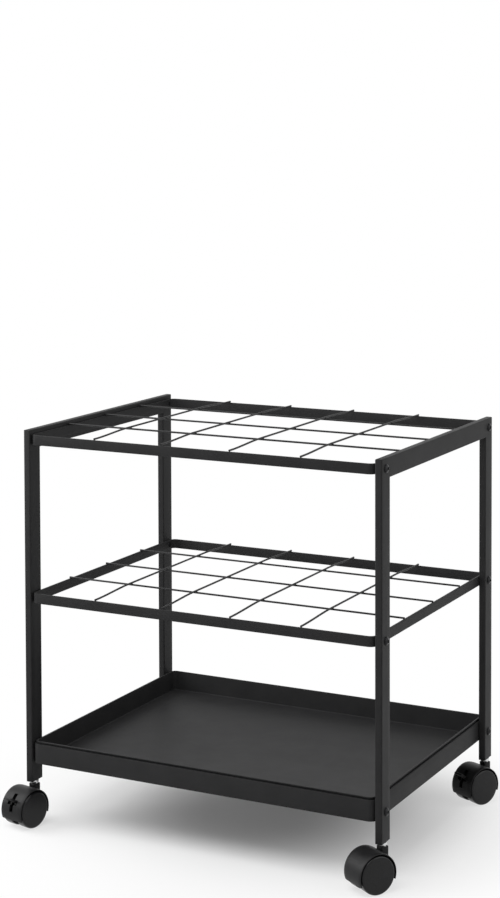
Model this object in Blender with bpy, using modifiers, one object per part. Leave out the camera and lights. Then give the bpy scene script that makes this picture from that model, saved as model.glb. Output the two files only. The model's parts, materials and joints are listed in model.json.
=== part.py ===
# Rolling cart for rolled drawings: two welded tube side frames, two wire grids, a tray and four casters.
# Metres, +Z up, +X to the right, +Y to the back; the origin is on the floor under the middle of the cart.

import math

import bmesh
import bpy
from mathutils import Matrix, Vector

# Overall sizes of the frame
frame_width = 0.510
frame_depth = 0.375
frame_height = 0.5225
leg_clearance = 0.0565

# Rectangular tube of the side frames
tube_width = 0.0095
tube_depth = 0.025
tube_wall = 0.001
tube_corner = 0.0016

# Flat-bar hoops of the two grids
bar_thickness = 0.0025
bar_height = 0.013
hoop_corner = 0.0095
top_grid_drop = 0.006
middle_grid_top = 0.308

# Wires that divide the grids into slots
wire_diameter = 0.0025
slot_columns = 5
slot_rows = 4
wire_end_inset = 0.0004
wire_ramp = 0.080

# Tray: band and pan
band_top = 0.1085
band_height = 0.026
pan_sheet = 0.0012
pan_bend = 0.0025
pan_lift = 0.0005
lip_rise = 0.0033
lip_width = 0.0012

# Screws
screw_diameter = 0.006
screw_head_diameter = 0.0105
screw_head_height = 0.0031
screw_head_rim = 0.0005
screw_socket_width = 0.004
screw_socket_depth = 0.0018
tray_screw_drop = 0.002

# Plugs welded into the feet of the legs, and the caster stems that screw into them
plug_height = 0.014
stem_diameter = 0.006
stem_flange_width = 0.010
stem_flange_height = 0.0042
stem_reach_up = 0.012
stem_reach_down = 0.018

# Caster wheels and axle
wheel_diameter = 0.0475
wheel_face_spread = 0.0390
wheel_wall = 0.0025
wheel_edge = 0.0020
wheel_dome = 0.0005
wheel_side_gap = 0.0005
hub_diameter = 0.011
axle_diameter = 0.005
axle_length = 0.032
caster_trail = 0.018

# Caster hood
hood_clearance = 0.0015
hood_wall = 0.0015
hood_width = 0.0360
hood_edge = 0.0007
hood_web = 0.009
hood_boss_diameter = 0.014
collar_width = 0.0115
collar_corner = 0.0025
collar_root = 0.008
hood_front_angle = math.radians(-19)
hood_rear_angle = math.radians(207)
boss_angles = (math.radians(230), math.radians(310))

# Brake lever, its trunnion and its openings in the hood
lever_angle = math.radians(147)
lever_travel = math.radians(16)
lever_pivot_radius = 0.0145
lever_hub_diameter = 0.006
lever_trunnion_diameter = 0.0024
lever_arm_width = 0.005
lever_arm_height = 0.0035
lever_tab_width = 0.015
lever_tab_height = 0.003
lever_tab_reach = 0.0385
lever_tab_start = 0.0285
lever_tab_edge = 0.0008
pocket_inner_radius = 0.0098
pocket_upper_angle = math.radians(23)
pocket_lower_angle = math.radians(31)
lever_play = 0.0004

# Directions in which the casters stand at rest
caster_turns = {
    "front_left": math.radians(-11),
    "front_right": math.radians(-32),
    "rear_left": math.radians(-18),
    "rear_right": math.radians(-26),
}
braked_casters = ("front_left", "rear_right")

# Gap between neighbouring pieces, reach of a cutter past what it cuts, and distance for welding points
gap = 0.0003
overrun = 0.004
weld_distance = 0.000003

# Counts of flat faces that stand in for round shapes
corner_steps = 5
tube_corner_steps = 3
edge_angles = [math.radians(degrees) for degrees in (0, 45, 90)]
crown_angles = [math.radians(degrees) for degrees in (0, 35, 65, 90)]
hole_sides = 12
hood_steps = 24
room_sides = 36
wheel_steps = 30
screw_steps = 14

# Values worked out from the sizes above
inner_half_width = frame_width / 2 - tube_width
leg_x = frame_width / 2 - tube_width / 2
leg_y = frame_depth / 2 - tube_depth / 2
top_grid_top = frame_height - top_grid_drop
hoop_width = 2 * (inner_half_width - gap)
wheel_radius = wheel_diameter / 2
hood_radius = wheel_radius + hood_clearance + hood_wall
collar_top = leg_clearance - stem_flange_height - 2 * gap
screw_levels = {
    "top_grid": top_grid_top - bar_height / 2,
    "middle_grid": middle_grid_top - bar_height / 2,
    "tray": band_top - band_height / 2 - tray_screw_drop,
}
corners = {
    "front_left": (-1, -1),
    "front_right": (1, -1),
    "rear_left": (-1, 1),
    "rear_right": (1, 1),
}

# Turns a shape drawn in X and Y, raised along Z, so that it is drawn in Y and Z, raised along X
sideways = Matrix(((0, 0, 1, 0), (1, 0, 0, 0), (0, 1, 0, 0), (0, 0, 0, 1)))


def clear_scene():
    for obj in list(bpy.data.objects):
        bpy.data.objects.remove(obj, do_unlink=True)


def new_collection(name):
    collection = bpy.data.collections.new(name)
    bpy.context.scene.collection.children.link(collection)
    return collection


def new_material(name, color, roughness, metallic):
    material = bpy.data.materials.new(name)
    material.use_nodes = True
    shader = material.node_tree.nodes["Principled BSDF"]
    shader.inputs["Base Color"].default_value = (*color, 1)
    shader.inputs["Roughness"].default_value = roughness
    shader.inputs["Metallic"].default_value = metallic
    return material


clear_scene()
parts = new_collection("blueprint_storage_cart")
cutters = new_collection("cutters")
powder_coat = new_material("powder_coat", (0.030, 0.030, 0.031), 0.42, 0.0)
wire_coat = new_material("wire_coat", (0.022, 0.022, 0.023), 0.45, 0.0)
screw_black = new_material("screw_black", (0.018, 0.018, 0.019), 0.35, 0.6)
plated_steel = new_material("plated_steel", (0.62, 0.62, 0.60), 0.28, 1.0)
hood_plastic = new_material("hood_plastic", (0.028, 0.028, 0.029), 0.38, 0.0)
wheel_plastic = new_material("wheel_plastic", (0.014, 0.014, 0.015), 0.30, 0.0)


def place(obj, parent, location=(0, 0, 0), rotation=(0, 0, 0)):
    obj.parent = parent
    obj.location = location
    obj.rotation_euler = rotation
    return obj


def empty(name, parent=None, location=(0, 0, 0), rotation=(0, 0, 0)):
    obj = bpy.data.objects.new(name, None)
    bpy.context.scene.collection.objects.link(obj)
    return place(obj, parent, location, rotation)


def solid(name, mesh, material, smooth=False):
    """A part: an object of its own that carries the mesh and one material."""
    if not mesh.materials:
        mesh.materials.append(material)
    if smooth:
        mesh.shade_smooth()
        mesh.set_sharp_from_angle(angle=math.radians(35))
    obj = bpy.data.objects.new(name, mesh)
    parts.objects.link(obj)
    return obj


def mesh_from(name, shape):
    mesh = bpy.data.meshes.new(name)
    shape.to_mesh(mesh)
    shape.free()
    return mesh


def helper(name, mesh, parent=None):
    """A cutter, or a piece that another one is joined to."""
    obj = bpy.data.objects.new(name, mesh)
    cutters.objects.link(obj)
    obj.hide_render = True
    obj.display_type = "WIRE"
    obj.parent = parent
    return obj


def combine(obj, other, operation):
    modifier = obj.modifiers.new(other.name, "BOOLEAN")
    modifier.operation = operation
    modifier.object = other
    modifier.solver = "EXACT"


def evaluated_mesh(obj):
    """The mesh of an object with its modifiers carried out."""
    bpy.context.view_layer.update()
    graph = bpy.context.evaluated_depsgraph_get()
    return bpy.data.meshes.new_from_object(obj.evaluated_get(graph))


def bake(obj):
    """Carries out the modifiers of a helper and removes it with all that was cut from it or joined to it."""
    used = [modifier.object for modifier in obj.modifiers if modifier.type == "BOOLEAN"]
    mesh = evaluated_mesh(obj)
    for each in [obj, *used]:
        bpy.data.objects.remove(each, do_unlink=True)
    return mesh


def rounded_rectangle(width, depth, radius, steps):
    points = []
    for start, side_x, side_y in ((0, 1, 1), (1, -1, 1), (2, -1, -1), (3, 1, -1)):
        for step in range(steps + 1):
            angle = math.pi / 2 * (start + step / steps)
            x = side_x * (width / 2 - radius) + radius * math.cos(angle)
            y = side_y * (depth / 2 - radius) + radius * math.sin(angle)
            points.append((x, y))
    return points


def polar(radius, angle):
    return (radius * math.cos(angle), radius * math.sin(angle))


def prism_mesh(name, outlines, height, turn=None):
    """A flat outline, less the holes that its further outlines give, raised half up and half down."""
    curve = bpy.data.curves.new(name, "CURVE")
    curve.dimensions = "2D"
    curve.fill_mode = "BOTH"
    curve.extrude = height / 2
    for outline in outlines:
        spline = curve.splines.new("POLY")
        spline.points.add(len(outline) - 1)
        for point, (x, y) in zip(spline.points, outline):
            point.co = (x, y, 0, 1)
        spline.use_cyclic_u = True
    drawn = bpy.data.objects.new(name, curve)
    bpy.context.scene.collection.objects.link(drawn)
    mesh = evaluated_mesh(drawn)
    bpy.data.objects.remove(drawn, do_unlink=True)
    shape = bmesh.new()
    shape.from_mesh(mesh)
    bpy.data.meshes.remove(mesh)
    bmesh.ops.remove_doubles(shape, verts=shape.verts, dist=weld_distance)
    bmesh.ops.recalc_face_normals(shape, faces=shape.faces)
    bmesh.ops.dissolve_limit(shape, angle_limit=math.radians(1), verts=shape.verts, edges=shape.edges)
    if turn is not None:
        bmesh.ops.transform(shape, matrix=turn, verts=shape.verts)
    return mesh_from(name, shape)


def cylinders_mesh(name, rods, sides=hole_sides):
    """Round rods, each given as its radius, its length and the matrix that sets it from Z to its place."""
    shape = bmesh.new()
    for radius, length, matrix in rods:
        bmesh.ops.create_cone(
            shape, cap_ends=True, segments=sides, radius1=radius, radius2=radius, depth=length, matrix=matrix
        )
    return mesh_from(name, shape)


def box_mesh(name, size, centre):
    shape = bmesh.new()
    bmesh.ops.create_cube(shape, size=1, matrix=Matrix.Translation(centre) @ Matrix.Diagonal((*size, 1)))
    return mesh_from(name, shape)


def turned_mesh(name, profile, steps):
    """A profile of radius and height, spun round Z."""
    shape = bmesh.new()
    points = [shape.verts.new((radius, 0, height)) for radius, height in profile]
    for first, second in zip(points, points[1:]):
        shape.edges.new((first, second))
    spun = helper(name, mesh_from(name, shape))
    modifier = spun.modifiers.new("spin", "SCREW")
    modifier.steps = steps
    modifier.render_steps = steps
    modifier.use_merge_vertices = True
    modifier.merge_threshold = weld_distance
    return bake(spun)


def soften(obj, width, segments, angle):
    modifier = obj.modifiers.new("rounded_edges", "BEVEL")
    modifier.width = width
    modifier.segments = segments
    modifier.limit_method = "ANGLE"
    modifier.angle_limit = angle


def tube_outlines():
    inside = (tube_width - 2 * tube_wall, tube_depth - 2 * tube_wall, tube_corner - tube_wall)
    return (
        rounded_rectangle(tube_width, tube_depth, tube_corner, tube_corner_steps),
        rounded_rectangle(*inside, tube_corner_steps),
    )


def add_leg(cart, corner):
    """A tube closed at the top, with three screw holes across it and a bored plug in its foot."""
    side_x, side_y = corners[corner]
    name = corner + "_leg"
    outside, inside = tube_outlines()
    length = frame_height - leg_clearance
    hollow = length - plug_height - tube_wall
    spot = Vector((side_x * leg_x, side_y * leg_y, leg_clearance))
    leg = solid(name, prism_mesh(name, [outside], length), powder_coat)
    place(leg, cart, spot + Vector((0, 0, length / 2)))
    bore = helper(name + "_bore", prism_mesh(name + "_bore", [inside], hollow), cart)
    bore.location = spot + Vector((0, 0, plug_height + hollow / 2))
    combine(leg, bore, "DIFFERENCE")
    across = tube_width + 2 * overrun
    rods = [
        (screw_diameter / 2 + gap, across, Matrix.Translation((0, 0, level - leg_clearance)) @ sideways)
        for level in screw_levels.values()
    ]
    through = plug_height + 2 * overrun
    rods.append((stem_diameter / 2 + gap, through, Matrix.Translation((0, 0, plug_height / 2))))
    holes = helper(name + "_holes", cylinders_mesh(name + "_holes", rods), cart)
    holes.location = spot
    combine(leg, holes, "DIFFERENCE")


def add_top_rail(cart, side_name, side_x):
    length = frame_depth - 2 * tube_depth - 2 * gap
    mesh = prism_mesh(side_name + "_top_rail", tube_outlines(), length)
    rail = solid(side_name + "_top_rail", mesh, powder_coat)
    place(rail, cart, (side_x * leg_x, 0, frame_height - tube_depth / 2), (math.pi / 2, 0, 0))


def add_hoop(cart, name, top, height, screw_level):
    """A flat bar bent into a hoop that fits between the side frames, flush with the fronts of the legs."""
    outside = rounded_rectangle(hoop_width, frame_depth, hoop_corner, corner_steps)
    width = hoop_width - 2 * bar_thickness
    depth = frame_depth - 2 * bar_thickness
    inside = rounded_rectangle(width, depth, hoop_corner - bar_thickness, corner_steps)
    hoop = solid(name, prism_mesh(name, [outside, inside], height), powder_coat)
    place(hoop, cart, (0, 0, top - height / 2))
    rods = [
        (screw_diameter / 2 + gap, frame_width, Matrix.Translation((0, side * leg_y, 0)) @ sideways)
        for side in (-1, 1)
    ]
    holes = helper(name + "_holes", cylinders_mesh(name + "_holes", rods), cart)
    holes.location = (0, 0, screw_level)
    combine(hoop, holes, "DIFFERENCE")


def add_wire(cart, name, points):
    curve = bpy.data.curves.new(name, "CURVE")
    curve.dimensions = "3D"
    curve.bevel_depth = wire_diameter / 2
    curve.bevel_resolution = 2
    curve.use_fill_caps = True
    spline = curve.splines.new("POLY")
    spline.points.add(len(points) - 1)
    for point, place_of_point in zip(spline.points, points):
        point.co = (*place_of_point, 1)
    curve.materials.append(wire_coat)
    wire = bpy.data.objects.new(name, curve)
    parts.objects.link(wire)
    place(wire, cart)


def add_wires(cart, grid, top):
    """Long wires lie on the hoop's edge; cross wires lie over them and come down to it at both ends."""
    low = top + gap + wire_diameter / 2
    high = low + wire_diameter + gap
    end_x = hoop_width / 2 - wire_end_inset
    end_y = frame_depth / 2 - wire_end_inset
    row_pitch = frame_depth / slot_rows
    column_pitch = hoop_width / slot_columns
    for row in range(1, slot_rows):
        y = -frame_depth / 2 + row * row_pitch
        add_wire(cart, f"{grid}_long_wire_{row}", [(-end_x, y, low), (end_x, y, low)])
    foot = frame_depth / 2 - 2 * bar_thickness
    rise = foot - wire_ramp
    for column in range(1, slot_columns):
        x = -hoop_width / 2 + column * column_pitch
        route = [(-end_y, low), (-foot, low), (-rise, high), (rise, high), (foot, low), (end_y, low)]
        add_wire(cart, f"{grid}_cross_wire_{column}", [(x, y, z) for y, z in route])


def add_pan(cart):
    """A sheet pan inside the band, with its lip turned outwards above the band's edge."""
    width = hoop_width - 2 * (bar_thickness + gap)
    depth = frame_depth - 2 * (bar_thickness + gap)
    radius = hoop_corner - bar_thickness - gap
    bottom = band_top - band_height + pan_lift
    top = band_top + lip_rise - pan_sheet
    shape = bmesh.new()
    centre = Matrix.Translation((0, 0, (bottom + top) / 2))
    bmesh.ops.create_cube(shape, size=1, matrix=centre @ Matrix.Diagonal((width, depth, top - bottom, 1)))
    shape.normal_update()
    lid = [face for face in shape.faces if face.normal.z > 0.5]
    bmesh.ops.delete(shape, geom=lid, context="FACES")
    upright = [edge for edge in shape.edges if edge.verts[0].co.xy == edge.verts[1].co.xy]
    bmesh.ops.bevel(shape, geom=upright, offset=radius, segments=corner_steps, profile=0.5, affect="EDGES")
    shape.normal_update()
    floor = next(face for face in shape.faces if face.normal.z < -0.5)
    bmesh.ops.bevel(shape, geom=list(floor.edges), offset=pan_bend, segments=2, profile=0.5, affect="EDGES")
    rim = [edge for edge in shape.edges if edge.is_boundary]
    lip = bmesh.ops.extrude_edge_only(shape, edges=rim)
    for vert in (item for item in lip["geom"] if isinstance(item, bmesh.types.BMVert)):
        corner_x = math.copysign(width / 2 - radius, vert.co.x)
        corner_y = math.copysign(depth / 2 - radius, vert.co.y)
        outwards = Vector((vert.co.x - corner_x, vert.co.y - corner_y, 0))
        vert.co += outwards.normalized() * lip_width
    pan = solid("tray_pan", mesh_from("tray_pan", shape), powder_coat)
    wall = pan.modifiers.new("sheet", "SOLIDIFY")
    wall.thickness = pan_sheet
    wall.offset = -1
    wall.use_even_offset = True
    place(pan, cart)


def screw_mesh():
    """A button-head screw that points down, with a hex socket in its head."""
    head = screw_head_diameter / 2
    shank = screw_diameter / 2
    length = tube_width + gap + bar_thickness
    dome = screw_head_height - screw_head_rim
    crown = [(head * math.sin(angle), screw_head_rim + dome * math.cos(angle)) for angle in crown_angles]
    profile = [*crown, (head, 0), (shank, 0), (shank, -length), (0, -length)]
    screw = helper("screw", turned_mesh("screw", profile, screw_steps))
    socket_radius = screw_socket_width / math.sqrt(3)
    socket_top = screw_head_height + overrun
    socket_bottom = screw_head_height - screw_socket_depth
    matrix = Matrix.Translation((0, 0, (socket_top + socket_bottom) / 2))
    socket = cylinders_mesh("socket", [(socket_radius, socket_top - socket_bottom, matrix)], 6)
    combine(screw, helper("socket", socket), "DIFFERENCE")
    return bake(screw)


def add_screws(cart):
    mesh = screw_mesh()
    for level_name, level in screw_levels.items():
        for corner, (side_x, side_y) in corners.items():
            screw = solid(f"{level_name}_screw_{corner}", mesh, screw_black, True)
            spot = (side_x * (frame_width / 2 + gap), side_y * leg_y, level)
            place(screw, cart, spot, (0, side_x * math.pi / 2, 0))


def stem_mesh():
    """A threaded stem with a hex flange, drawn with the flange's top at zero."""
    rod = Matrix.Translation((0, 0, (stem_reach_up - stem_flange_height - stem_reach_down) / 2))
    length = stem_reach_up + stem_flange_height + stem_reach_down
    stem = helper("stem", cylinders_mesh("stem", [(stem_diameter / 2, length, rod)]))
    middle = Matrix.Translation((0, 0, -stem_flange_height / 2))
    flange = cylinders_mesh("flange", [(stem_flange_width / math.sqrt(3), stem_flange_height, middle)], 6)
    combine(stem, helper("flange", flange), "UNION")
    return bake(stem)


def wheel_mesh():
    """One wheel, spun round Z: closed on its outer side, open on its inner side, with a hub in the middle."""
    width = wheel_face_spread / 2 - hood_web / 2 - wheel_side_gap
    radius = wheel_radius
    hub = hub_diameter / 2
    bore = axle_diameter / 2 + gap
    under_face = width - wheel_wall
    arc_radius = radius - wheel_edge
    arc_height = width - wheel_dome - wheel_edge
    shoulder = [
        (arc_radius + wheel_edge * math.sin(angle), arc_height + wheel_edge * math.cos(angle))
        for angle in edge_angles
    ]
    profile = [
        (0, width),
        *shoulder,
        (radius, wheel_edge / 2),
        (radius - wheel_edge / 2, 0),
        (radius - wheel_wall, 0),
        (radius - wheel_wall, under_face),
        (hub, under_face),
        (hub, 0),
        (bore, 0),
        (bore, under_face),
        (0, under_face),
    ]
    return turned_mesh("wheel", profile, wheel_steps)


def arc(radius, first, last, steps):
    return [polar(radius, first + (last - first) * step / steps) for step in range(steps + 1)]


def hood_outline():
    shell = arc(hood_radius, hood_front_angle, hood_rear_angle, hood_steps)
    return shell + arc(hood_boss_diameter / 2, *boss_angles, corner_steps)


def sector(inner, outer, first, last):
    return arc(outer, first, last, corner_steps) + arc(inner, last, first, corner_steps)


def hood_mesh(name, braked):
    """The hood round the middle of the axle: a shell over both wheels, a web between them and a collar."""
    hood = helper(name, prism_mesh(name, [hood_outline()], hood_width, sideways))
    soften(hood, hood_edge, 2, math.radians(60))
    collar_height = collar_top - wheel_radius - collar_root
    spot = Matrix.Translation((0, caster_trail, collar_root + collar_height / 2))
    outline = rounded_rectangle(collar_width, collar_width, collar_corner, tube_corner_steps)
    combine(hood, helper("collar", prism_mesh("collar", [outline], collar_height, spot)), "UNION")
    reach = wheel_face_spread / 2
    rods = []
    for side in (-1, 1):
        middle = Matrix.Translation((side * (hood_web + reach) / 2, 0, 0))
        rods.append((wheel_radius + hood_clearance, reach, middle @ sideways))
    combine(hood, helper("wheel_rooms", cylinders_mesh("wheel_rooms", rods, room_sides)), "DIFFERENCE")
    deep = stem_reach_down + gap
    bore_spot = Matrix.Translation((0, caster_trail, collar_top - wheel_radius - deep / 2 + overrun / 2))
    bores = [
        (stem_diameter / 2 + gap, deep + overrun, bore_spot),
        (axle_diameter / 2 + gap, hood_web + overrun, sideways),
    ]
    if braked:
        pivot = Matrix.Translation((0, *polar(lever_pivot_radius, lever_angle)))
        bores.append((lever_trunnion_diameter / 2 + gap, hood_web + overrun, pivot @ sideways))
        far = hood_radius + overrun
        upper = lever_angle - pocket_upper_angle
        pocket = sector(pocket_inner_radius, far, upper, lever_angle + pocket_lower_angle)
        width = lever_arm_width + 2 * gap
        combine(hood, helper("pocket", prism_mesh("pocket", [pocket], width, sideways)), "DIFFERENCE")
        above = (lever_tab_height / 2 + lever_play) / hood_radius
        swing = (hood_radius - lever_pivot_radius) * math.sin(lever_travel)
        below = (lever_tab_height / 2 + lever_play + swing) / hood_radius
        inner = wheel_radius + hood_clearance / 2
        slot = sector(inner, far, lever_angle - above, lever_angle + below)
        width = lever_tab_width + 2 * lever_play
        combine(hood, helper("slot", prism_mesh("slot", [slot], width, sideways)), "DIFFERENCE")
    combine(hood, helper("bores", cylinders_mesh("bores", bores)), "DIFFERENCE")
    return bake(hood)


def lever_mesh():
    """The brake lever round the trunnion that it turns on, drawn with its tab pointing along +Y."""
    rods = [
        (lever_hub_diameter / 2, lever_arm_width, sideways),
        (lever_trunnion_diameter / 2, hood_web, sideways),
    ]
    lever = helper("lever", cylinders_mesh("lever", rods[:1]))
    combine(lever, helper("trunnion", cylinders_mesh("trunnion", rods[1:])), "UNION")
    start = lever_tab_start - lever_pivot_radius
    reach = lever_tab_reach - lever_pivot_radius
    overlap = lever_tab_height / 2
    length = start + overlap
    arm = box_mesh("arm", (lever_arm_width, length, lever_arm_height), (0, length / 2, 0))
    combine(lever, helper("arm", arm), "UNION")
    tab_size = (lever_tab_width, reach - start, lever_tab_height)
    tab = helper("tab", box_mesh("tab", tab_size, (0, (start + reach) / 2, 0)))
    soften(tab, lever_tab_edge, 2, math.radians(60))
    combine(lever, tab, "UNION")
    return bake(lever)


def add_caster(cart, corner, meshes):
    """A swivelling hood with an axle and two wheels, and a brake lever on two of the four casters."""
    side_x, side_y = corners[corner]
    name = corner + "_caster_"
    x = side_x * leg_x
    y = side_y * leg_y
    stem = solid(name + "stem", meshes["stem"], plated_steel)
    place(stem, cart, (x, y, leg_clearance - gap))
    swivel = empty(name + "swivel_axis", cart, (x, y, 0), (0, 0, caster_turns[corner]))
    axle_spot = (0, -caster_trail, wheel_radius)
    braked = corner in braked_casters
    hood = solid(name + "hood", meshes["braked_hood" if braked else "hood"], hood_plastic, True)
    place(hood, swivel, axle_spot)
    axle = solid(name + "axle", meshes["axle"], plated_steel, True)
    place(axle, swivel, axle_spot, (0, math.pi / 2, 0))
    inner_face = hood_web / 2 + wheel_side_gap
    for side_name, side in (("left", -1), ("right", 1)):
        spin = empty(name + side_name + "_wheel_axis", swivel, axle_spot)
        wheel = solid(name + side_name + "_wheel", meshes["wheel"], wheel_plastic, True)
        place(wheel, spin, (side * inner_face, 0, 0), (0, side * math.pi / 2, 0))
    if braked:
        along, up = polar(lever_pivot_radius, lever_angle)
        pivot = (0, along - caster_trail, up + wheel_radius)
        hinge = empty(name + "brake_axis", swivel, pivot, (lever_angle, 0, 0))
        lever = solid(name + "brake_lever", meshes["lever"], hood_plastic)
        place(lever, hinge)


def caster_meshes():
    upright = Matrix.Identity(4)
    return {
        "stem": stem_mesh(),
        "wheel": wheel_mesh(),
        "hood": hood_mesh("hood", False),
        "braked_hood": hood_mesh("braked_hood", True),
        "lever": lever_mesh(),
        "axle": cylinders_mesh("axle", [(axle_diameter / 2, axle_length, upright)]),
    }


def stand_on_origin(cart):
    """Moves the cart so that the middle of its whole outline stands on the origin."""
    bpy.context.view_layer.update()
    graph = bpy.context.evaluated_depsgraph_get()
    corners_of_all = []
    for obj in parts.objects:
        evaluated = obj.evaluated_get(graph)
        mesh = evaluated.to_mesh()
        corners_of_all += [evaluated.matrix_world @ vert.co for vert in mesh.vertices]
        evaluated.to_mesh_clear()
    low = Vector(min(point[axis] for point in corners_of_all) for axis in range(3))
    high = Vector(max(point[axis] for point in corners_of_all) for axis in range(3))
    cart.location = (-(low.x + high.x) / 2, -(low.y + high.y) / 2, -low.z)
    bpy.context.view_layer.update()


def build_cart():
    cart = empty("cart")
    for corner in corners:
        add_leg(cart, corner)
    add_top_rail(cart, "left", -1)
    add_top_rail(cart, "right", 1)
    add_hoop(cart, "top_grid_hoop", top_grid_top, bar_height, screw_levels["top_grid"])
    add_hoop(cart, "middle_grid_hoop", middle_grid_top, bar_height, screw_levels["middle_grid"])
    add_hoop(cart, "tray_band", band_top, band_height, screw_levels["tray"])
    add_wires(cart, "top", top_grid_top)
    add_wires(cart, "middle", middle_grid_top)
    add_pan(cart)
    add_screws(cart)
    meshes = caster_meshes()
    for corner in corners:
        add_caster(cart, corner, meshes)
    stand_on_origin(cart)


build_cart()
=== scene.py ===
import json
import math

import bmesh
import bpy
from mathutils import Matrix, Vector


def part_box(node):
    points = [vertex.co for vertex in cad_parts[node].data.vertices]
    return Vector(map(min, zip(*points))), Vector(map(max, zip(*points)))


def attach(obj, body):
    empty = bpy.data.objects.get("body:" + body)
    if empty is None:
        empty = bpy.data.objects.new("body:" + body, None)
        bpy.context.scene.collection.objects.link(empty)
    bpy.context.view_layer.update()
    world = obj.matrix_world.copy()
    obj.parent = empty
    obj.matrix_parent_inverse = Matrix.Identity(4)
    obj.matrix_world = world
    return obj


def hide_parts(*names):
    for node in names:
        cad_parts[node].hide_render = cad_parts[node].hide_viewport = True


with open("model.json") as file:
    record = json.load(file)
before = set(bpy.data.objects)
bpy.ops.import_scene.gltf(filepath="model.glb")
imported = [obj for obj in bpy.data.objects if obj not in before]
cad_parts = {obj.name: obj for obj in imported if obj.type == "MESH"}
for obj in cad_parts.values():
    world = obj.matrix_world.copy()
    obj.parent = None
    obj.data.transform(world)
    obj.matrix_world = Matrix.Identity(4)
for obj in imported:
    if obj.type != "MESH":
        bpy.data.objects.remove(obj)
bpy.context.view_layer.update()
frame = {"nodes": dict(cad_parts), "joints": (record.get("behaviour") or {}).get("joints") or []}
nodes = frame["nodes"]
joints = {joint["name"]: joint for joint in frame["joints"]}
corners = {"front_left": (-1, -1), "front_right": (1, -1), "rear_left": (-1, 1), "rear_right": (1, 1)}
levels = ("top_grid", "middle_grid", "tray")
brakedCasters = ("front_left", "rear_right")
mergeDistance = 0.000002
facing = 0.9  # how squarely a face looks along an axis to count as facing it
straight = 0.99  # the same for an edge that lies along an axis
print("cart frame loaded:", len(nodes), "nodes")


# Selecting and adding

def leaveEditing():
    bpy.ops.object.mode_set(mode="OBJECT")


def deselectAll():
    if bpy.context.mode != "OBJECT":
        leaveEditing()
    bpy.ops.object.select_all(action="DESELECT")


def takeUp(piece):
    deselectAll()
    piece.select_set(True)
    bpy.context.view_layer.objects.active = piece


def startEditing(piece, kind, action):
    takeUp(piece)
    bpy.ops.object.mode_set(mode="EDIT")
    bpy.ops.mesh.select_mode(type=kind)
    bpy.ops.mesh.select_all(action=action)


def editAll(piece):  # goes into edit mode with everything selected
    startEditing(piece, "VERT", "SELECT")


def pick(piece, kind, test):  # goes into edit mode with only the edges or faces that pass the test
    startEditing(piece, kind, "DESELECT")
    shape = bmesh.from_edit_mesh(piece.data)
    for part in shape.edges if kind == "EDGE" else shape.faces:
        if test(part):
            part.select_set(True)
    bmesh.update_edit_mesh(piece.data)


def settle(name):  # names what was just added and puts its place into its mesh
    piece = bpy.context.active_object
    piece.name = name
    piece.data.name = name
    bpy.ops.object.transform_apply(location=True, rotation=True, scale=True)
    return piece


def addBlock(name, low, high):
    deselectAll()
    centre = [(a + b) / 2 for a, b in zip(low, high)]
    size = [b - a for a, b in zip(low, high)]
    bpy.ops.mesh.primitive_cube_add(size=1, location=centre, scale=size)
    return settle(name)


def addRod(name, radius, length, centre, axis="Z", sides=40):
    deselectAll()
    turn = {"X": (0, math.pi / 2, 0), "Z": (0, 0, 0)}[axis]
    bpy.ops.mesh.primitive_cylinder_add(
        vertices=sides, radius=radius, depth=length, location=centre, rotation=turn)
    return settle(name)


def copyTo(piece, name, matrix):  # a copy with its own mesh, moved there in its mesh
    twin = piece.copy()
    twin.data = piece.data.copy()
    twin.name = name
    twin.data.name = name
    twin.data.transform(matrix)
    bpy.context.scene.collection.objects.link(twin)
    return twin


def remove(piece):
    bpy.data.objects.remove(piece, do_unlink=True)


# Shaping

def applyModifier(piece, kind, **settings):
    takeUp(piece)
    modifier = piece.modifiers.new(kind.title(), kind)
    for setting, value in settings.items():
        setattr(modifier, setting, value)
    bpy.ops.object.modifier_apply(modifier=modifier.name)


def cut(piece, tool, operation="DIFFERENCE"):
    applyModifier(piece, "BOOLEAN", object=tool, operation=operation, solver="EXACT")
    remove(tool)


def weld(piece, other):
    cut(piece, other, "UNION")


def roundEdges(piece, width, steps, test):
    pick(piece, "EDGE", test)
    bpy.ops.mesh.bevel(offset=width, segments=steps, affect="EDGES")
    leaveEditing()


def roundSharpEdges(piece, width, steps, sharp=60):
    applyModifier(piece, "BEVEL", width=width, segments=steps, limit_method="ANGLE",
                  angle_limit=math.radians(sharp))


def thicken(piece, thickness):
    applyModifier(piece, "SOLIDIFY", thickness=thickness, offset=-1, use_even_offset=True)


def extrudePicked(offset):
    bpy.ops.mesh.extrude_region_move(TRANSFORM_OT_translate={"value": offset})


def deleteFaces(piece, test):
    pick(piece, "FACE", test)
    bpy.ops.mesh.delete(type="FACE")
    leaveEditing()


def closeUp(piece):  # merges doubled points, and turns all faces outwards
    editAll(piece)
    bpy.ops.mesh.remove_doubles(threshold=mergeDistance)
    bpy.ops.mesh.normals_make_consistent(inside=False)
    leaveEditing()


def smoothBy(piece, degrees):
    takeUp(piece)
    bpy.ops.object.shade_smooth_by_angle(angle=math.radians(degrees))


def drawChain(name, points):  # a plane merged into one vertex, which is extruded from point to point
    deselectAll()
    bpy.ops.mesh.primitive_plane_add()
    editAll(bpy.context.active_object)
    bpy.ops.mesh.merge(type="CENTER")
    bpy.ops.transform.translate(value=points[0])
    for before, after in zip(points, points[1:]):
        step = [b - a for a, b in zip(before, after)]
        bpy.ops.mesh.extrude_vertices_move(TRANSFORM_OT_translate={"value": step})
    leaveEditing()
    return settle(name)


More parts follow.
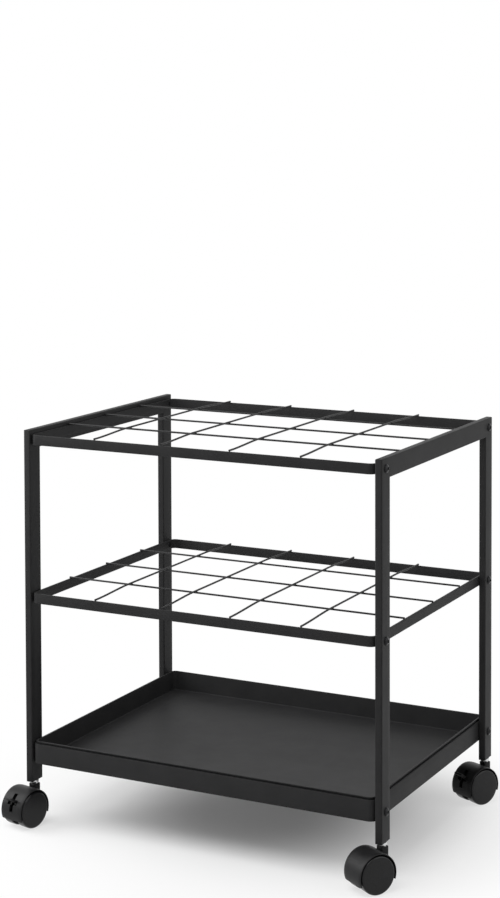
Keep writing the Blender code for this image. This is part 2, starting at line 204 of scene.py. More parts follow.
def spinChain(piece, axis, angle, steps):
    editAll(piece)
    bpy.ops.mesh.spin(steps=steps, angle=angle, center=(0, 0, 0), axis=axis)
    bpy.ops.mesh.select_all(action="SELECT")
    bpy.ops.mesh.remove_doubles(threshold=mergeDistance)
    bpy.ops.mesh.fill_holes(sides=0)
    bpy.ops.mesh.normals_make_consistent(inside=False)
    leaveEditing()


def turnProfile(name, profile, steps):  # a profile of radius and height, spun round Z
    piece = drawChain(name, [(radius, 0, height) for radius, height in profile])
    spinChain(piece, (0, 0, 1), 2 * math.pi, steps)
    return piece


def addPlate(name, outline, width):  # an outline in Y and Z, as thick as the width, across X
    piece = drawChain(name, [(-width / 2, y, z) for y, z in [*outline, outline[0]]])
    editAll(piece)
    bpy.ops.mesh.remove_doubles(threshold=mergeDistance)
    bpy.ops.mesh.edge_face_add()
    extrudePicked((width, 0, 0))
    bpy.ops.mesh.select_all(action="SELECT")
    bpy.ops.mesh.normals_make_consistent(inside=False)
    leaveEditing()
    return piece


# Measuring

def middleOf(node):
    low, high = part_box(node)
    return (low + high) / 2


def along(edge, axis):
    return abs((edge.verts[1].co - edge.verts[0].co).normalized()[axis]) > straight


def bottomOf(edge):
    return min(vert.co.z for vert in edge.verts)


def topOf(edge):
    return max(vert.co.z for vert in edge.verts)


def polar(radius, degrees):
    return (radius * math.cos(math.radians(degrees)), radius * math.sin(math.radians(degrees)))


def arcPoints(radius, first, last, steps):
    return [polar(radius, first + (last - first) * step / steps) for step in range(steps + 1)]


def quarterTurn(step):  # the sine and cosine of angles from 0 to 90 degrees
    angles = [math.radians(degrees) for degrees in range(0, 91, step)]
    return [(math.sin(angle), math.cos(angle)) for angle in angles]


# Handing a finished piece to the frame

def handOver(piece, body, slotName, *replaced):
    piece.data.materials.clear()
    piece.data.materials.append(finishes[slotName])
    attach(piece, body)
    if replaced:
        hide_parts(*replaced)


# Finishes

mottle = {"cloudDetail": 4, "cloudRoughness": 0.55, "peelDetail": 2, "grainDetail": 1,
          "fineRoughness": 0.5, "cloudShare": 0.55, "grainShare": 0.45, "toneFrom": 0.32,
          "toneTo": 0.68, "glossFrom": 0.3, "glossTo": 0.7}


def addNode(tree, kind, settings=(), inputs=()):
    node = tree.nodes.new("ShaderNode" + kind)
    for name, value in dict(settings).items():
        setattr(node, name, value)
    for name, value in dict(inputs).items():
        node.inputs[name].default_value = value
    return node


def finishMaterial(name, look):  # clouds and a fine grain set the tone, and clouds the gloss
    material = bpy.data.materials.new(name)
    material.use_nodes = True
    tree = material.node_tree
    link = tree.links.new
    shader = tree.nodes["Principled BSDF"]
    for socket, value in look["shader"].items():
        shader.inputs[socket].default_value = value
    spot = addNode(tree, "TexCoord").outputs["Object"]
    stretch = addNode(tree, "Mapping", {}, {"Scale": look.get("stretch", (1, 1, 1))})
    link(spot, stretch.inputs["Vector"])
    clouds = addNode(tree, "TexNoise", {}, {
        "Scale": look["cloudScale"], "Detail": mottle["cloudDetail"],
        "Roughness": mottle["cloudRoughness"]})
    peel = addNode(tree, "TexNoise", {}, {
        "Scale": look["peelScale"], "Detail": mottle["peelDetail"], "Roughness": mottle["fineRoughness"]})
    grain = addNode(tree, "TexNoise", {}, {
        "Scale": look["grainScale"], "Detail": mottle["grainDetail"], "Roughness": mottle["fineRoughness"]})
    link(spot, clouds.inputs["Vector"])
    link(stretch.outputs["Vector"], peel.inputs["Vector"])
    link(stretch.outputs["Vector"], grain.inputs["Vector"])
    softer = addNode(tree, "Math", {"operation": "MULTIPLY"}, {1: mottle["cloudShare"]})
    link(clouds.outputs["Fac"], softer.inputs[0])
    blend = addNode(tree, "Math", {"operation": "MULTIPLY_ADD"}, {1: mottle["grainShare"]})
    link(grain.outputs["Fac"], blend.inputs[0])
    link(softer.outputs[0], blend.inputs[2])
    tone = addNode(tree, "ValToRGB")
    darkEnd, lightEnd = tone.color_ramp.elements
    darkEnd.position = mottle["toneFrom"]
    darkEnd.color = (*look["dark"], 1)
    lightEnd.position = mottle["toneTo"]
    lightEnd.color = (*look["light"], 1)
    link(blend.outputs[0], tone.inputs["Fac"])
    link(tone.outputs["Color"], shader.inputs["Base Color"])
    smooth, dull = look["gloss"]
    gloss = addNode(tree, "MapRange", {}, {
        "From Min": mottle["glossFrom"], "From Max": mottle["glossTo"], "To Min": smooth, "To Max": dull})
    link(clouds.outputs["Fac"], gloss.inputs["Value"])
    link(gloss.outputs["Result"], shader.inputs["Roughness"])
    waves = addNode(tree, "Bump", {}, {"Strength": 1.0, "Distance": look["peelHeight"]})
    link(peel.outputs["Fac"], waves.inputs["Height"])
    specks = addNode(tree, "Bump", {}, {"Strength": 1.0, "Distance": look["grainHeight"]})
    link(grain.outputs["Fac"], specks.inputs["Height"])
    link(waves.outputs["Normal"], specks.inputs["Normal"])
    link(specks.outputs["Normal"], shader.inputs["Normal"])
    return material


looks = {
    "powder_coat": {  # satin black powder coat: soft peel waves and a fine grain
        "shader": {"Metallic": 0.0, "IOR": 1.5, "Specular IOR Level": 0.07},
        "dark": (0.0210, 0.0210, 0.0215), "light": (0.0285, 0.0285, 0.0290), "gloss": (0.44, 0.52),
        "cloudScale": 30, "peelScale": 620, "peelHeight": 0.000022,
        "grainScale": 2600, "grainHeight": 0.000007,
    },
    "wire_coat": {  # the same coat, thinner and smoother on the wires
        "shader": {"Metallic": 0.0, "IOR": 1.5, "Specular IOR Level": 0.2},
        "dark": (0.0095, 0.0095, 0.0100), "light": (0.0140, 0.0140, 0.0145), "gloss": (0.40, 0.50),
        "cloudScale": 60, "peelScale": 900, "peelHeight": 0.000012,
        "grainScale": 3000, "grainHeight": 0.000004,
    },
    "screw_black": {  # black oxide on steel
        "shader": {"Metallic": 0.4, "IOR": 1.5, "Specular IOR Level": 0.2},
        "dark": (0.010, 0.010, 0.011), "light": (0.022, 0.022, 0.024), "gloss": (0.24, 0.34),
        "cloudScale": 260, "peelScale": 1500, "peelHeight": 0.000006,
        "grainScale": 4200, "grainHeight": 0.000003,
    },
    "plated_steel": {  # bright zinc with fine lathe marks round the stem
        "shader": {"Metallic": 1.0, "IOR": 1.5, "Specular IOR Level": 0.5}, "stretch": (0.2, 0.2, 3.0),
        "dark": (0.50, 0.51, 0.53), "light": (0.74, 0.74, 0.72), "gloss": (0.20, 0.32),
        "cloudScale": 240, "peelScale": 1300, "peelHeight": 0.000006,
        "grainScale": 3600, "grainHeight": 0.000003,
    },
    "hood_plastic": {  # moulded plastic with a spark-eroded grain
        "shader": {"Metallic": 0.0, "IOR": 1.46, "Specular IOR Level": 0.16},
        "dark": (0.0095, 0.0095, 0.0100), "light": (0.0145, 0.0145, 0.0150), "gloss": (0.36, 0.46),
        "cloudScale": 90, "peelScale": 1400, "peelHeight": 0.000010,
        "grainScale": 3800, "grainHeight": 0.000007,
    },
    "wheel_plastic": {  # smoother and darker moulded plastic
        "shader": {"Metallic": 0.0, "IOR": 1.46, "Specular IOR Level": 0.26},
        "dark": (0.0060, 0.0060, 0.0065), "light": (0.0095, 0.0095, 0.0100), "gloss": (0.16, 0.22),
        "cloudScale": 90, "peelScale": 500, "peelHeight": 0.000006,
        "grainScale": 2600, "grainHeight": 0.000003,
    },
}
finishes = {name: finishMaterial(name, look) for name, look in looks.items()}
print("finishes made:", ", ".join(finishes))


# Legs and top rails of the welded side frames

tube = {"corner": 0.0016, "cornerSteps": 8, "capEdge": 0.0003, "capSteps": 2, "wall": 0.001,
        "footRecess": 0.0011, "overlap": 0.00001, "reach": 0.03, "smooth": 35}
holes = {"screw": 0.0033, "stem": 0.0033, "depth": 0.03, "hoopLength": 0.7}


def railSeat(corner, low, high):  # opens the leg's top to the rail, so that no seam shows between them
    reach = tube["reach"]
    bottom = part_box(corner.split("_")[1] + "_top_rail")[0].z + tube["corner"]
    if corners[corner][1] < 0:
        near, far = high.y - tube["corner"], high.y + reach
    else:
        near, far = low.y - reach, low.y + tube["corner"]
    return addBlock("railSeat", (low.x - reach, near, bottom), (high.x + reach, far, high.z + reach))


def addLeg(corner):
    low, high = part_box(corner + "_leg")
    middle = (low + high) / 2
    leg = addBlock(corner + "_tube_leg", low, high)

    def isRounded(edge):  # the upright edges, and those on top that run on in the rail
        return along(edge, 2) or (along(edge, 1) and bottomOf(edge) > high.z - mergeDistance)

    roundEdges(leg, tube["corner"], tube["cornerSteps"], isRounded)
    roundSharpEdges(leg, tube["capEdge"], tube["capSteps"])
    cut(leg, railSeat(corner, low, high))
    pick(leg, "FACE", lambda face: face.normal.z < -facing)
    bpy.ops.mesh.inset(thickness=tube["wall"])
    extrudePicked((0, 0, tube["footRecess"]))
    leaveEditing()
    for level in levels:
        spot = middleOf(f"{level}_screw_{corner}")
        spot.x = middle.x
        cut(leg, addRod("screwHole", holes["screw"], holes["depth"], spot, "X"))
    cut(leg, addRod("stemHole", holes["stem"], holes["depth"], (middle.x, middle.y, low.z)))
    smoothBy(leg, tube["smooth"])
    handOver(leg, "frame", "powder_coat", corner + "_leg")


def addTopRail(side):
    low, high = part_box(side + "_top_rail")
    low.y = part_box(f"front_{side}_leg")[1].y - tube["corner"] - tube["overlap"]
    high.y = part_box(f"rear_{side}_leg")[0].y + tube["corner"] + tube["overlap"]
    rail = addBlock(side + "_tube_rail", low, high)
    roundEdges(rail, tube["corner"], tube["cornerSteps"], lambda edge: along(edge, 1))
    smoothBy(rail, tube["smooth"])
    handOver(rail, "frame", "powder_coat", side + "_top_rail")


for corner in corners:
    addLeg(corner)
addTopRail("left")
addTopRail("right")
print("side frames made")


# Flat-bar hoops of the grids and the band of the tray

bar = {"thickness": 0.0025, "corner": 0.0095, "cornerSteps": 12, "edge": 0.0004, "edgeSteps": 3,
       "smooth": 35}


def addHoop(node, level, name):
    hoop = addBlock(name, *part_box(node))
    roundEdges(hoop, bar["corner"], bar["cornerSteps"], lambda edge: along(edge, 2))
    deleteFaces(hoop, lambda face: abs(face.normal.z) > facing)
    thicken(hoop, bar["thickness"])
    roundSharpEdges(hoop, bar["edge"], bar["edgeSteps"])
    for end in ("front", "rear"):
        spot = middleOf(f"{level}_screw_{end}_left")
        cut(hoop, addRod("screwHole", holes["screw"], holes["hoopLength"], (0, spot.y, spot.z), "X"))
    smoothBy(hoop, bar["smooth"])
    handOver(hoop, "frame", "powder_coat", node)


addHoop("top_grid_hoop", "top_grid", "top_grid_bar_hoop")
addHoop("middle_grid_hoop", "middle_grid", "middle_grid_bar_hoop")
addHoop("tray_band", "tray", "tray_bar_band")
print("hoops and band made")


# Sheet pan of the tray

pan = {"sheet": 0.0012, "corner": 0.0067, "cornerSteps": 12, "bend": 0.0025, "bendSteps": 6,
       "lip": 0.0012, "edge": 0.00045, "edgeSteps": 3, "smooth": 35}


def addLip(sheet, middle, half):  # draws the rim out, straight on the sides and fanned at corners
    pick(sheet, "EDGE", lambda edge: edge.is_boundary)
    extrudePicked((0, 0, 0))
    shape = bmesh.from_edit_mesh(sheet.data)
    for vert in (vert for vert in shape.verts if vert.select):
        offset = vert.co - middle
        outX = math.copysign(max(abs(offset.x) - half.x + pan["corner"], 0), offset.x)
        outY = math.copysign(max(abs(offset.y) - half.y + pan["corner"], 0), offset.y)
        vert.co += Vector((outX, outY, 0)).normalized() * pan["lip"]
    bmesh.update_edit_mesh(sheet.data)
    leaveEditing()


def addPan():
    low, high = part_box("tray_pan")
    inset = Vector((pan["lip"], pan["lip"], 0))
    sheet = addBlock("tray_sheet_pan", low + inset, high - inset - Vector((0, 0, pan["sheet"])))
    deleteFaces(sheet, lambda face: face.normal.z > facing)
    roundEdges(sheet, pan["corner"], pan["cornerSteps"], lambda edge: along(edge, 2))
    floorZ = low.z + mergeDistance
    roundEdges(sheet, pan["bend"], pan["bendSteps"],
               lambda edge: topOf(edge) < floorZ and len(edge.link_faces) == 2)
    addLip(sheet, (low + high) / 2, (high - low) / 2 - inset)
    thicken(sheet, pan["sheet"])
    roundSharpEdges(sheet, pan["edge"], pan["edgeSteps"])
    smoothBy(sheet, pan["smooth"])
    handOver(sheet, "frame", "powder_coat", "tray_pan")


addPan()
print("tray pan made")


# Wires of the two grids, and the small welds that hold them

wire = {"long": 3, "cross": 4, "radius": 0.00125, "foot": 0.0046, "ramp": 0.080, "rampSteps": 10,
        "round": 4, "endRound": 0.0004, "endSteps": 3, "smooth": 50}
nugget = {"width": 0.0021, "height": 0.0007, "inset": 0.0009, "sides": 20, "rings": 10, "smooth": 60}


def wireRoute(low, high, isLong):
    bottom = low.z + wire["radius"]
    middle = (low + high) / 2
    if isLong:
        return [(low.x, middle.y, bottom), (high.x, middle.y, bottom)]
    climb = high.z - wire["radius"] - bottom
    rise = []  # from the hoop up over the long wires, in a soft S
    for step in range(wire["rampSteps"] + 1):
        share = step / wire["rampSteps"]
        lift = climb * share * share * (3 - 2 * share)
        rise.append((wire["foot"] + wire["ramp"] * share, bottom + lift))
    front = [(middle.x, low.y, bottom), *((middle.x, low.y + y, z) for y, z in rise)]
    back = [(middle.x, high.y - y, z) for y, z in reversed(rise)]
    return [*front, *back, (middle.x, high.y, bottom)]


def addWire(node):
    route = wireRoute(*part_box(node), "long" in node)
    curve = bpy.data.curves.new(node, "CURVE")
    curve.dimensions = "3D"
    curve.bevel_depth = wire["radius"]
    curve.bevel_resolution = wire["round"]
    curve.use_fill_caps = True
    line = curve.splines.new("POLY")
    line.points.add(len(route) - 1)
    for point, spot in zip(line.points, route):
        point.co = (*spot, 1)
    drawn = bpy.data.objects.new(node.replace("_wire", "_round_wire"), curve)
    bpy.context.scene.collection.objects.link(drawn)
    takeUp(drawn)
    bpy.ops.object.convert(target="MESH")
    rod = bpy.context.active_object
    closeUp(rod)
    roundSharpEdges(rod, wire["endRound"], wire["endSteps"])
    smoothBy(rod, wire["smooth"])
    handOver(rod, "frame", "wire_coat", node)


def weldSpots(longWires, crossWires):
    inset = nugget["inset"]
    spots = []
    for node in longWires:
        low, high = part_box(node)
        y = (low.y + high.y) / 2
        spots += [(low.x + inset, y, low.z), (high.x - inset, y, low.z)]
        spots += [(middleOf(other).x, y, high.z) for other in crossWires]
    for node in crossWires:
        low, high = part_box(node)
        x = (low.x + high.x) / 2
        spots += [(x, low.y + inset, low.z), (x, high.y - inset, low.z)]
    return spots


def addWelds(grid, spots):
    size = (nugget["width"] / 2, nugget["width"] / 2, nugget["height"])
    made = []
    for spot in spots:
        deselectAll()
        bpy.ops.mesh.primitive_uv_sphere_add(
            segments=nugget["sides"], ring_count=nugget["rings"], radius=1, location=spot, scale=size)
        made.append(settle(grid + "_weld"))
    deselectAll()
    for each in made:
        each.select_set(True)
    bpy.context.view_layer.objects.active = made[0]
    bpy.ops.object.join()
    welds = bpy.context.active_object
    welds.name = grid + "_grid_welds"
    smoothBy(welds, nugget["smooth"])
    handOver(welds, "frame", "wire_coat")


for grid in ("top", "middle"):
    longWires = [f"{grid}_long_wire_{row + 1}" for row in range(wire["long"])]
    crossWires = [f"{grid}_cross_wire_{column + 1}" for column in range(wire["cross"])]
    for node in longWires + crossWires:
        addWire(node)
    addWelds(grid, weldSpots(longWires, crossWires))
print("grid wires made")


# Button-head screws

screw = {"head": 0.00525, "height": 0.0031, "rim": 0.0005, "crownStep": 9, "lowerEdge": 0.0001,
         "shank": 0.003, "length": 0.0123, "tipEdge": 0.0006, "socket": 0.0023, "socketDepth": 0.0018,
         "socketSides": 6, "sides": 40, "smooth": 30}


def makeScrew():  # head up, with its underside at zero
    head, shank, rim, length = (screw[part] for part in ("head", "shank", "rim", "length"))
    dome = screw["height"] - rim
    edge = screw["lowerEdge"]
    crown = [(head * out, rim + dome * up) for out, up in quarterTurn(screw["crownStep"])]
    profile = [*crown, (head - edge, edge), (head - 2 * edge, 0), (shank, 0),
               (shank, -length + screw["tipEdge"]), (shank - screw["tipEdge"], -length), (0, -length)]
    made = turnProfile("button_screw", profile, screw["sides"])
    socketTop = (0, 0, screw["height"])
    cut(made, addRod("socket", screw["socket"], 2 * screw["socketDepth"], socketTop, "Z",
                     screw["socketSides"]))
    smoothBy(made, screw["smooth"])
    return made


button = makeScrew()
for level in levels:
    for corner, (sideX, _) in corners.items():
        node = f"{level}_screw_{corner}"
        low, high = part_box(node)
        spot = (low + high) / 2
        spot.x = (high.x if sideX > 0 else low.x) - sideX * screw["height"]
        place = Matrix.Translation(spot) @ Matrix.Rotation(sideX * math.pi / 2, 4, "Y")
        fitted = copyTo(button, f"{level}_button_screw_{corner}", place)
        handOver(fitted, "frame", "screw_black", node)
remove(button)
print("screws made")


# Caster stems with their hex flanges

stem = {"radius": 0.003, "up": 0.012, "down": 0.018, "pitch": 0.001, "thread": 0.0003, "topEdge": 0.0003,
        "bottomEdge": 0.0005, "sides": 32, "flange": 0.0042, "across": 0.010, "hexSides": 6,
        "hexCorner": 0.0006, "hexEdge": 0.00035, "hexSteps": 3, "smooth": 30}


def makeStem():  # the flange's top is at zero
    radius, up, pitch = (stem[part] for part in ("radius", "up", "pitch"))
    root = radius - stem["thread"]
    ridges = []
    for turn in range(int(up / pitch) - 1):
        top = up - pitch * (turn + 0.5)
        ridges += [(root, top), (radius, top - pitch / 2)]
    bottom = -stem["flange"] - stem["down"]
    profile = [(0, up), (root - stem["topEdge"], up), *ridges, (radius, bottom + stem["bottomEdge"]),
               (root, bottom), (0, bottom)]
    made = turnProfile("threaded_stem", profile, stem["sides"])
    nutMiddle = (0, 0, -stem["flange"] / 2)
    nut = addRod("flange", stem["across"] / math.sqrt(3), stem["flange"], nutMiddle, "Z", stem["hexSides"])
    roundEdges(nut, stem["hexCorner"], stem["hexSteps"], lambda edge: along(edge, 2))
    roundEdges(nut, stem["hexEdge"], stem["hexSteps"], lambda edge: not along(edge, 2))
    weld(made, nut)
    smoothBy(made, stem["smooth"])
    return made


threaded = makeStem()
for corner in corners:
    node = corner + "_caster_stem"
    top = middleOf(node)
    top.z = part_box(node)[1].z - stem["up"]
    fitted = copyTo(threaded, corner + "_threaded_stem", Matrix.Translation(top))
    handOver(fitted, "frame", "plated_steel", node)
remove(threaded)
print("stems made")


# Caster hoods, drawn round the middle of the axle with the wheels' axis along X
# Their angles run from the stem's side over the top

hood = {"radius": 0.02675, "room": 0.02525, "half": 0.0180, "crown": 0.0006, "crownFrom": 0.0120,
        "crownSteps": 6, "edge": 0.0004, "front": -19, "rear": 203, "steps": 77, "web": 0.009,
        "webInset": 0.6, "boss": 0.007, "bossFrom": 230, "bossTo": 310, "bossSteps": 12,
        "axleBore": 0.0028, "boreLength": 0.02, "smooth": 35}
collar = {"width": 0.0115, "corner": 0.0025, "cornerSteps": 8, "edge": 0.0006, "edgeSteps": 3,
          "root": 0.008, "top": 0.02795, "trail": 0.018, "stemBore": 0.0033, "boreLength": 0.0366,
          "overlap": 0.0001, "roomDepth": 0.02, "roomSides": 96}
pocket = {"angle": 147, "up": 23, "down": 31, "inner": 0.0098, "width": 0.0056, "steps": 12,
          "slotWidth": 0.0158, "slotFloor": 0.0245, "above": 4.07, "below": 11.30, "slotSteps": 6,
          "clear": 0.004, "pivot": 0.0145, "pivotHole": 0.0015, "pivotSides": 24}


def shellSection():
    run = hood["half"] - hood["crownFrom"] - hood["edge"]
    outer = []
    for step in range(hood["crownSteps"] + 1):
        share = step / hood["crownSteps"]
        outer.append((hood["crownFrom"] + run * share, hood["radius"] - hood["crown"] * share * share))
    top = outer[-1][1]
    half, edge = hood["half"], hood["edge"]
    lip = [(half - edge / 3, top - edge / 3), (half, top - edge)]
    rightSide = [*outer, *lip, (half, hood["room"])]
    leftSide = [(-x, radius) for x, radius in reversed(rightSide)]
    return [*leftSide, *rightSide, leftSide[0]]


def makeShell(name):
    start = math.radians(hood["front"])
    points = [(x, radius * math.cos(start), radius * math.sin(start)) for x, radius in shellSection()]
    shell = drawChain(name, points)
    spinChain(shell, (-1, 0, 0), math.radians(hood["rear"] - hood["front"]), hood["steps"])
    return shell


def makeCollar(webRadius):
    half = collar["width"] / 2
    trail, top = collar["trail"], collar["top"]
    block = addBlock("collar", (-half, trail - half, collar["root"]), (half, trail + half, top))
    roundEdges(block, collar["corner"], collar["cornerSteps"], lambda edge: along(edge, 2))
    roundEdges(block, collar["edge"], collar["edgeSteps"],
               lambda edge: bottomOf(edge) > top - mergeDistance)
    depth = collar["roomDepth"]
    for side in (-1, 1):
        middle = (side * (hood["web"] / 2 - collar["overlap"] + depth / 2), 0, 0)
        cut(block, addRod("wheelRoom", webRadius, depth, middle, "X", collar["roomSides"]))
    return block


def cutPocket(made):  # the well the lever tilts in, the wider slot of its tab, and its pivot
    angle = pocket["angle"]
    far = hood["radius"] + pocket["clear"]

    def cutArc(name, up, down, inner, steps, width):
        outline = arcPoints(far, angle - up, angle + down, steps)
        outline += arcPoints(inner, angle + down, angle - up, steps)
        cut(made, addPlate(name, outline, width))

    cutArc("pocket", pocket["up"], pocket["down"], pocket["inner"], pocket["steps"], pocket["width"])
    cutArc("tabSlot", pocket["above"], pocket["below"], pocket["slotFloor"], pocket["slotSteps"],
           pocket["slotWidth"])
    spot = (0, *polar(pocket["pivot"], angle))
    cut(made, addRod("pivotHole", pocket["pivotHole"], hood["boreLength"], spot, "X",
                     pocket["pivotSides"]))


def makeHood(name, isBraked):
    made = makeShell(name)
    webRadius = (hood["radius"] + hood["room"]) / 2
    inset = hood["webInset"]
    outline = arcPoints(webRadius, hood["front"] + inset, hood["rear"] - inset, hood["steps"])
    outline += arcPoints(hood["boss"], hood["bossFrom"], hood["bossTo"], hood["bossSteps"])
    weld(made, addPlate("web", outline, hood["web"]))
    weld(made, makeCollar(webRadius))
    stemSpot = (0, collar["trail"], collar["top"])
    cut(made, addRod("stemBore", collar["stemBore"], collar["boreLength"], stemSpot))
    cut(made, addRod("axleBore", hood["axleBore"], hood["boreLength"], (0, 0, 0), "X"))
    if isBraked:
        cutPocket(made)
    closeUp(made)
    smoothBy(made, hood["smooth"])
    return made


# Wheels: a closed outer disc, a tread, and ribs on the open inner side

wheel = {"radius": 0.02375, "inner": 0.005, "outer": 0.0195, "wall": 0.0025, "shoulder": 0.0028,
         "shoulderStep": 10, "dome": 0.0005, "domeSteps": 6, "hub": 0.0055, "bore": 0.0028,
         "treadCrown": 0.00015, "rimRise": 0.0009, "rimInset": 0.0008, "ribs": 8, "ribThickness": 0.0012,
         "ribSetback": 0.0015, "overlap": 0.0004, "steps": 90, "smooth": 30}


def wheelProfile():
    width = wheel["outer"] - wheel["inner"]
    radius, shoulder, dome = (wheel[part] for part in ("radius", "shoulder", "dome"))
    steps = wheel["domeSteps"]
    flat = radius - shoulder
    under = width - wheel["wall"]
    face = [(flat * step / steps, width - dome * (step / steps) ** 2) for step in range(steps + 1)]
    bend = [(flat + shoulder * out, width - dome - shoulder * (1 - up))
            for out, up in quarterTurn(wheel["shoulderStep"])[1:]]
    tread = [(radius, width / 2), (radius - wheel["treadCrown"], wheel["rimRise"]),
             (radius - wheel["rimInset"], 0)]
    hollow = [(radius - wheel["wall"], 0), (radius - wheel["wall"], under), (wheel["hub"], under),
              (wheel["hub"], 0), (wheel["bore"], 0), (wheel["bore"], under), (0, under)]
    return [*face, *bend, *tread, *hollow]


def makeWheel():  # the right-hand wheel
    made = turnProfile("twin_wheel", wheelProfile(), wheel["steps"])
    near = wheel["hub"] - wheel["overlap"]
    far = wheel["radius"] - wheel["wall"] + wheel["overlap"]
    top = wheel["outer"] - wheel["inner"] - wheel["wall"] + wheel["overlap"]
    half = wheel["ribThickness"] / 2
    for rib in range(wheel["ribs"]):
        plate = addBlock("rib", (near, -half, wheel["ribSetback"]), (far, half, top))
        plate.data.transform(Matrix.Rotation(2 * math.pi * rib / wheel["ribs"], 4, "Z"))
        weld(made, plate)
    turn = Matrix.Rotation(math.pi / 2, 4, "Y")
    made.data.transform(Matrix.Translation((wheel["inner"], 0, 0)) @ turn)
    closeUp(made)
    smoothBy(made, wheel["smooth"])
    return made


# Brake lever, drawn along Y from its pivot and then turned into the hood's pocket

lever = {"hub": 0.003, "hubSides": 40, "trunnion": 0.0012, "trunnionSides": 24, "armWidth": 0.005,
         "armHeight": 0.0035, "armInset": 0.0001, "armOverlap": 0.001, "tabFrom": 0.0285, "tabTo": 0.0385,
         "tabWidth": 0.015, "tabHeight": 0.003, "tabCorner": 0.0022, "tabCornerSteps": 6, "edge": 0.0009,
         "edgeSteps": 5, "grooves": 3, "grooveFrom": 0.0024, "groovePitch": 0.0019,
         "grooveRadius": 0.00045, "grooveInset": 0.004, "grooveSides": 16, "smooth": 30}


def makeTab(near, far):
    half = lever["tabWidth"] / 2
    thick = lever["tabHeight"] / 2
    tab = addBlock("tab", (-half, near, -thick), (half, far, thick))
    roundEdges(tab, lever["tabCorner"], lever["tabCornerSteps"],
               lambda edge: along(edge, 2) and edge.verts[0].co.y > far - mergeDistance)
    roundEdges(tab, lever["edge"], lever["edgeSteps"], lambda edge: not along(edge, 2))
    return tab


def makeLever():
    near, far = lever["tabFrom"] - pocket["pivot"], lever["tabTo"] - pocket["pivot"]
    made = addRod("brake_lever", lever["hub"], lever["armWidth"], (0, 0, 0), "X", lever["hubSides"])
    weld(made, addRod("trunnion", lever["trunnion"], hood["web"], (0, 0, 0), "X",
                      lever["trunnionSides"]))
    halfWidth = lever["armWidth"] / 2 - lever["armInset"]
    halfHeight = lever["armHeight"] / 2
    armEnd = near + lever["armOverlap"]
    weld(made, addBlock("arm", (-halfWidth, 0, -halfHeight), (halfWidth, armEnd, halfHeight)))
    weld(made, makeTab(near, far))
    grooveLength = lever["tabWidth"] - lever["grooveInset"]
    for groove in range(lever["grooves"]):
        y = near + lever["grooveFrom"] + groove * lever["groovePitch"]
        spot = (0, y, lever["tabHeight"] / 2)
        cut(made, addRod("groove", lever["grooveRadius"], grooveLength, spot, "X", lever["grooveSides"]))
    closeUp(made)
    pivotSpot = (0, *polar(pocket["pivot"], pocket["angle"]))
    turn = Matrix.Rotation(math.radians(pocket["angle"]), 4, "X")
    made.data.transform(Matrix.Translation(pivotSpot) @ turn)
    smoothBy(made, lever["smooth"])
    return made


plainHood = makeHood("plain_hood", False)
brakedHood = makeHood("braked_hood", True)
print("hoods made")
rightWheel = makeWheel()
print("wheel made")
brakeLever = makeLever()
wheelTurns = {"right": Matrix.Identity(4), "left": Matrix.Rotation(math.pi, 4, "Z")}
for corner in corners:
    caster = corner + "_caster"
    spin = joints[caster + "_left_wheel_spin"]
    axis = Vector(spin["axis"])
    place = Matrix.Translation(spin["pos_m"]) @ Matrix.Rotation(math.atan2(axis.y, axis.x), 4, "Z")
    isBraked = corner in brakedCasters
    fitted = copyTo(brakedHood if isBraked else plainHood, corner + "_moulded_hood", place)
    handOver(fitted, caster, "hood_plastic", caster + "_hood")
    for side, turn in wheelTurns.items():
        body = f"{caster}_{side}_wheel"
        fitted = copyTo(rightWheel, f"{corner}_{side}_disc_wheel", place @ turn)
        handOver(fitted, body, "wheel_plastic", body)
    if isBraked:
        body = caster + "_brake_lever"
        handOver(copyTo(brakeLever, corner + "_moulded_lever", place), body, "hood_plastic", body)
    nodes[caster + "_axle"].material_slots[0].material = finishes["plated_steel"]
for pattern in (plainHood, brakedHood, rightWheel, brakeLever):
    remove(pattern)
print("casters made")


# Floor, lights and camera; whiteFrom and whiteTo are in metres from the cart, focal and row in pixels

studio = {"floorSize": 40, "floorTone": 0.90, "floorRoughness": 0.8, "floorShine": 0.1,
          "nearWhite": 0.10, "whiteFrom": 0.06, "whiteTo": 0.48, "worldLight": 0.12}
lamps = {
    "left": {"spot": (-1.3, -0.6, 1.0), "aim": (0, 0, 0.1), "size": (1.3, 1.3), "power": 23},
    "front": {"spot": (-0.1, -1.1, 2.2), "aim": (0, 0, 0.0), "size": (1.5, 1.5), "power": 28},
    "right": {"spot": (1.4, 0.1, 0.9), "aim": (0, 0, 0.1), "size": (1.2, 1.2), "power": 5},
}
view = {"focal": 1979.5, "pitch": 2.574, "yaw": 27.296, "roll": -0.178, "row": 205.3,
        "spot": (1.1888, -2.3373, 0.8747), "imageHeight": 898, "sensor": 36, "clipEnd": 50}


def backgroundRays(tree):  # one for rays that show the background, also in a shine or through glass
    rays = addNode(tree, "LightPath")
    seen = rays.outputs["Is Camera Ray"]
    for kind in ("Is Glossy Ray", "Is Transmission Ray"):
        either = addNode(tree, "Math", {"operation": "MAXIMUM"})
        tree.links.new(seen, either.inputs[0])
        tree.links.new(rays.outputs[kind], either.inputs[1])
        seen = either.outputs[0]
    return seen


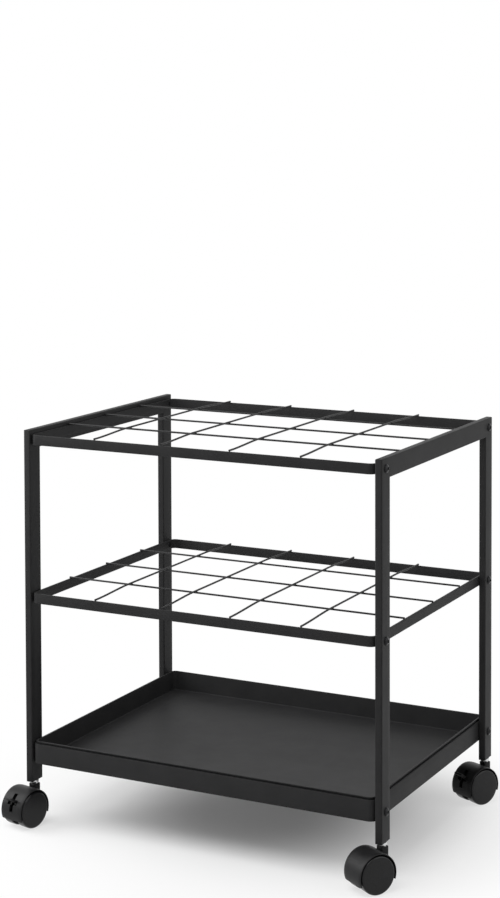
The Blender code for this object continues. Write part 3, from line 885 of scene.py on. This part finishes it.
def floorMaterial():  # plain where the cart stands, and white as the background further out
    material = bpy.data.materials.new("studio_floor")
    material.use_nodes = True
    tree = material.node_tree
    link = tree.links.new
    shader = tree.nodes["Principled BSDF"]
    tone = studio["floorTone"]
    shader.inputs["Base Color"].default_value = (tone, tone, tone, 1)
    shader.inputs["Roughness"].default_value = studio["floorRoughness"]
    shader.inputs["Specular IOR Level"].default_value = studio["floorShine"]
    reach = addNode(tree, "VectorMath", {"operation": "LENGTH"})
    link(addNode(tree, "TexCoord").outputs["Object"], reach.inputs[0])
    fade = {"From Min": studio["whiteFrom"], "From Max": studio["whiteTo"],
            "To Min": studio["nearWhite"]}
    whiten = addNode(tree, "MapRange", {"interpolation_type": "SMOOTHSTEP"}, fade)
    link(reach.outputs["Value"], whiten.inputs["Value"])
    share = addNode(tree, "Math", {"operation": "MULTIPLY"})
    link(whiten.outputs["Result"], share.inputs[0])
    link(backgroundRays(tree), share.inputs[1])
    white = addNode(tree, "Emission", {}, {"Color": (1, 1, 1, 1)})
    blend = addNode(tree, "MixShader")
    link(share.outputs[0], blend.inputs["Fac"])
    link(shader.outputs["BSDF"], blend.inputs[1])
    link(white.outputs["Emission"], blend.inputs[2])
    link(blend.outputs["Shader"], tree.nodes["Material Output"].inputs["Surface"])
    material.cycles.emission_sampling = "NONE"
    return material


def addFloor():
    deselectAll()
    bpy.ops.mesh.primitive_plane_add(size=studio["floorSize"], location=(0, 0, 0))
    floor = settle("studio_floor")
    floor.data.materials.append(floorMaterial())


def addWorld():
    world = bpy.data.worlds.new("studio_world")
    bpy.context.scene.world = world
    world.use_nodes = True
    tree = world.node_tree
    background = tree.nodes["Background"]
    background.inputs["Color"].default_value = (1, 1, 1, 1)
    level = addNode(tree, "MapRange", {}, {"To Min": studio["worldLight"], "To Max": 1.0})
    tree.links.new(backgroundRays(tree), level.inputs["Value"])
    tree.links.new(level.outputs["Result"], background.inputs["Strength"])


def addLamp(name, lamp):
    deselectAll()
    bpy.ops.object.light_add(type="AREA", location=lamp["spot"])
    light = bpy.context.active_object
    light.name = name + "_softbox"
    light.data.shape = "RECTANGLE"
    light.data.size, light.data.size_y = lamp["size"]
    light.data.energy = lamp["power"]
    ahead = Vector(lamp["aim"]) - Vector(lamp["spot"])
    light.rotation_euler = ahead.to_track_quat("-Z", "Y").to_euler()


def addCamera():  # its spot is measured from the middle of the four legs' feet
    pitch, yaw, roll = (math.radians(view[turn]) for turn in ("pitch", "yaw", "roll"))
    flat = math.cos(pitch)
    ahead = Vector((-math.sin(yaw) * flat, math.cos(yaw) * flat, -math.sin(pitch)))
    level = Vector((math.cos(yaw), math.sin(yaw), 0))
    upright = level.cross(ahead)
    right = level * math.cos(roll) + upright * math.sin(roll)
    up = upright * math.cos(roll) - level * math.sin(roll)
    low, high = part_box("front_left_leg")[0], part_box("rear_right_leg")[1]
    middle = Vector(((low.x + high.x) / 2, (low.y + high.y) / 2, low.z))
    bpy.ops.object.camera_add()
    camera = bpy.context.active_object
    turned = Matrix((right, up, -ahead)).transposed().to_4x4()
    camera.matrix_world = Matrix.Translation(middle + Vector(view["spot"])) @ turned
    camera.data.sensor_width = view["sensor"]
    camera.data.lens = view["focal"] * view["sensor"] / view["imageHeight"]
    camera.data.shift_y = (view["row"] - view["imageHeight"] / 2) / view["imageHeight"]
    camera.data.clip_end = view["clipEnd"]
    bpy.context.scene.camera = camera


addFloor()
addWorld()
for name, lamp in lamps.items():
    addLamp(name, lamp)
addCamera()
bpy.context.scene.view_settings.view_transform = "Standard"
print("studio and camera made")
